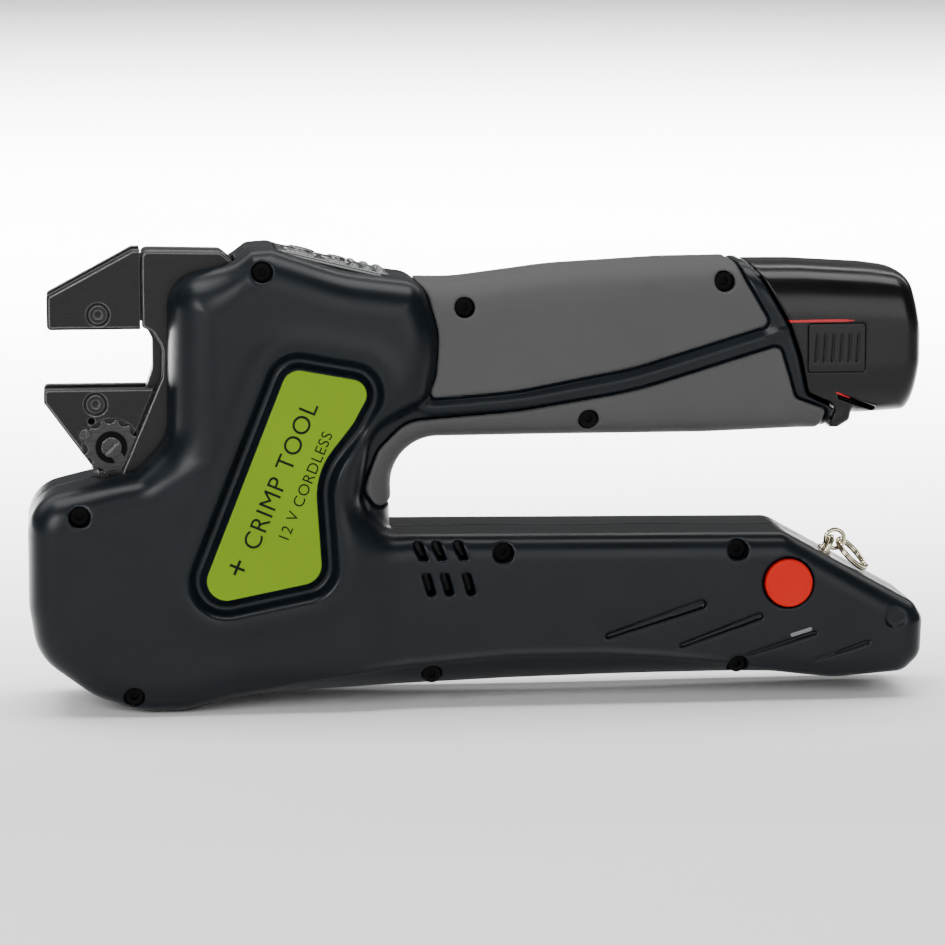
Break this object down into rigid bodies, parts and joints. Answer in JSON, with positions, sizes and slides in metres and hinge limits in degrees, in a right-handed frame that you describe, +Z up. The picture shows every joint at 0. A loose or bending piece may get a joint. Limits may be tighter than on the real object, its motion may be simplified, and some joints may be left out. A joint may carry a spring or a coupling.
{
  "type": "cordless crimping tool",
  "caption": "Cordless electromechanical crimping tool: steel C-frame jaws, moulded two-half housing, gripped handle with slide-in battery, drive arm and lanyard ring.",
  "frame": {"origin": "centre of the bounding box in plan, at its lowest level (the underside of the head)", "axes": "-X towards the jaws, +X towards the battery, +Z up through the handle, left side of the tool at -Y"},
  "size_m": [0.298, 0.058, 0.1522],
  "materials": {
    "housing": "fine-textured blue-black moulded nylon",
    "grip": "soft-touch grey overmould, matte",
    "label": "yellow-green printed label under clear film",
    "blackened_steel": "black-oxide ground steel",
    "bright_steel": "ground and turned steel",
    "bronze": "sintered bronze",
    "battery_plastic": "glossy black ABS",
    "cell_sleeve": "shrink sleeve",
    "copper": "plated contact",
    "button_red": "satin red plastic",
    "keypad": "membrane film",
    "lens": "light-pipe",
    "board": "solder-masked laminate",
    "magnet": "ferrite",
    "cap_plastic": "glass-filled nylon",
    "nickel": "nickel-plated wire"
  },
  "bodies": {
    "tool": {"housing_left": "housing", "housing_right": "housing", "upper_grip_left": "grip", "upper_grip_right": "grip", "lower_grip_left": "grip", "lower_grip_right": "grip", "label_left": "label", "label_right": "label", "housing_screws": "blackened_steel", "keypad_panel": "keypad", "status_lens": "lens", "frame_plate_left": "blackened_steel", "frame_plate_right": "blackened_steel", "frame_core": "blackened_steel", "frame_bolts": "blackened_steel", "upper_jaw_left": "blackened_steel", "upper_jaw_right": "blackened_steel", "upper_die_screw": "bright_steel", "guide_rail": "bright_steel", "bearing_block": "bright_steel", "screw_bush": "bronze", "ring_gear": "bright_steel", "motor_can": "bright_steel", "motor_magnets": "magnet", "motor_end_cap": "cap_plastic", "control_board": "board", "release_switch": "cap_plastic", "battery_socket": "cap_plastic", "lanyard_eye": "nickel", "spring_stop": "bright_steel", "return_spring": "bright_steel"},
    "moving_jaw": {"lower_jaw_left": "blackened_steel", "lower_jaw_right": "blackened_steel", "lower_die_screw": "bright_steel", "eccentric_pin": "bright_steel", "retaining_clip": "bright_steel", "adjusting_wheel": "bright_steel", "wheel_lock_screw": "bright_steel", "push_rod": "bright_steel", "roller_pin": "bright_steel"},
    "roller": {"push_roller": "bright_steel"},
    "carriage": {"wedge_carriage": "bright_steel", "ball_nut": "bright_steel"},
    "screw": {"ball_screw": "bright_steel", "planet_carrier": "bright_steel"},
    "planet_1": {"planet_gear_1": "bright_steel"},
    "planet_2": {"planet_gear_2": "bright_steel"},
    "planet_3": {"planet_gear_3": "bright_steel"},
    "motor_rotor": {"rotor": "copper", "sun_gear": "bright_steel"},
    "battery": {"battery_case": "battery_plastic", "battery_cells": "cell_sleeve", "battery_contacts": "copper"},
    "latch_left": {"battery_latch_left": "battery_plastic"},
    "latch_right": {"battery_latch_right": "battery_plastic"},
    "button": {"release_button": "button_red"},
    "start": {"start_key": "keypad"},
    "select": {"select_key": "keypad"},
    "link": {"swivel_link": "nickel"},
    "ring": {"key_ring": "nickel"}
  },
  "joints": [
    {"name": "rotor_spin", "type": "hinge", "parent": "tool", "child": "motor_rotor", "pos_m": [0.05, 0, 0.0325], "axis": [1, 0, 0], "range_deg": [0, 9900]},
    {"name": "screw_spin", "type": "hinge", "parent": "tool", "child": "screw", "pos_m": [0, 0, 0.0325], "axis": [1, 0, 0], "range_deg": [0, 1980]},
    {"name": "carriage_slide", "type": "slide", "parent": "tool", "child": "carriage", "axis": [-1, 0, 0], "range_m": [0, 0.022]},
    {"name": "jaw_slide", "type": "slide", "parent": "tool", "child": "moving_jaw", "axis": [0, 0, 1], "range_m": [0, 0.01], "deforming": ["return_spring"]},
    {"name": "roller_spin", "type": "hinge", "parent": "moving_jaw", "child": "roller", "pos_m": [-0.119, 0, 0.052], "axis": [0, 1, 0], "continuous": true},
    {"name": "planet_spin_1", "type": "hinge", "parent": "screw", "child": "planet_1", "pos_m": [0.0245, 0.01125, 0.0325], "axis": [1, 0, 0], "range_deg": [-5281, 1]},
    {"name": "planet_spin_2", "type": "hinge", "parent": "screw", "child": "planet_2", "pos_m": [0.0245, -0.00562, 0.04224], "axis": [1, 0, 0], "range_deg": [-5281, 1]},
    {"name": "planet_spin_3", "type": "hinge", "parent": "screw", "child": "planet_3", "pos_m": [0.0245, -0.00562, 0.02276], "axis": [1, 0, 0], "range_deg": [-5281, 1]},
    {"name": "battery_slide", "type": "slide", "parent": "tool", "child": "battery", "axis": [1, 0, 0], "range_m": [0, 0.065]},
    {"name": "latch_left_press", "type": "slide", "parent": "battery", "child": "latch_left", "axis": [0, 1, 0], "range_m": [0, 0.0015], "stiffness_N_per_m": 600, "springref_m": -0.001},
    {"name": "latch_right_press", "type": "slide", "parent": "battery", "child": "latch_right", "axis": [0, -1, 0], "range_m": [0, 0.0015], "stiffness_N_per_m": 600, "springref_m": -0.001},
    {"name": "release_press", "type": "slide", "parent": "tool", "child": "button", "axis": [0, 1, 0], "range_m": [0, 0.0025], "stiffness_N_per_m": 500, "springref_m": -0.001},
    {"name": "start_press", "type": "slide", "parent": "tool", "child": "start", "axis": [-0.2368, 0, -0.9715], "range_m": [0, 0.0006], "stiffness_N_per_m": 800, "springref_m": -0.0005},
    {"name": "select_press", "type": "slide", "parent": "tool", "child": "select", "axis": [-0.2368, 0, -0.9715], "range_m": [0, 0.0006], "stiffness_N_per_m": 800, "springref_m": -0.0005},
    {"name": "link_swing", "type": "hinge", "parent": "tool", "child": "link", "pos_m": [0.12058, 0, 0.05122], "axis": [0, -1, 0], "range_deg": [0, 120]},
    {"name": "ring_swing", "type": "hinge", "parent": "link", "child": "ring", "pos_m": [0.12275, 0, 0.04998], "axis": [0, -1, 0], "range_deg": [0, 60]}
  ],
  "couplings": [
    {"joint": "screw_spin", "follows": "rotor_spin", "ratio": 0.2},
    {"joint": "carriage_slide", "follows": "rotor_spin", "m_per_rad": 0.00012732},
    {"joint": "jaw_slide", "follows": "rotor_spin", "m_per_rad": 0.000057875},
    {"joint": "planet_spin_1", "follows": "rotor_spin", "ratio": -0.53333},
    {"joint": "planet_spin_2", "follows": "rotor_spin", "ratio": -0.53333},
    {"joint": "planet_spin_3", "follows": "rotor_spin", "ratio": -0.53333}
  ]
}
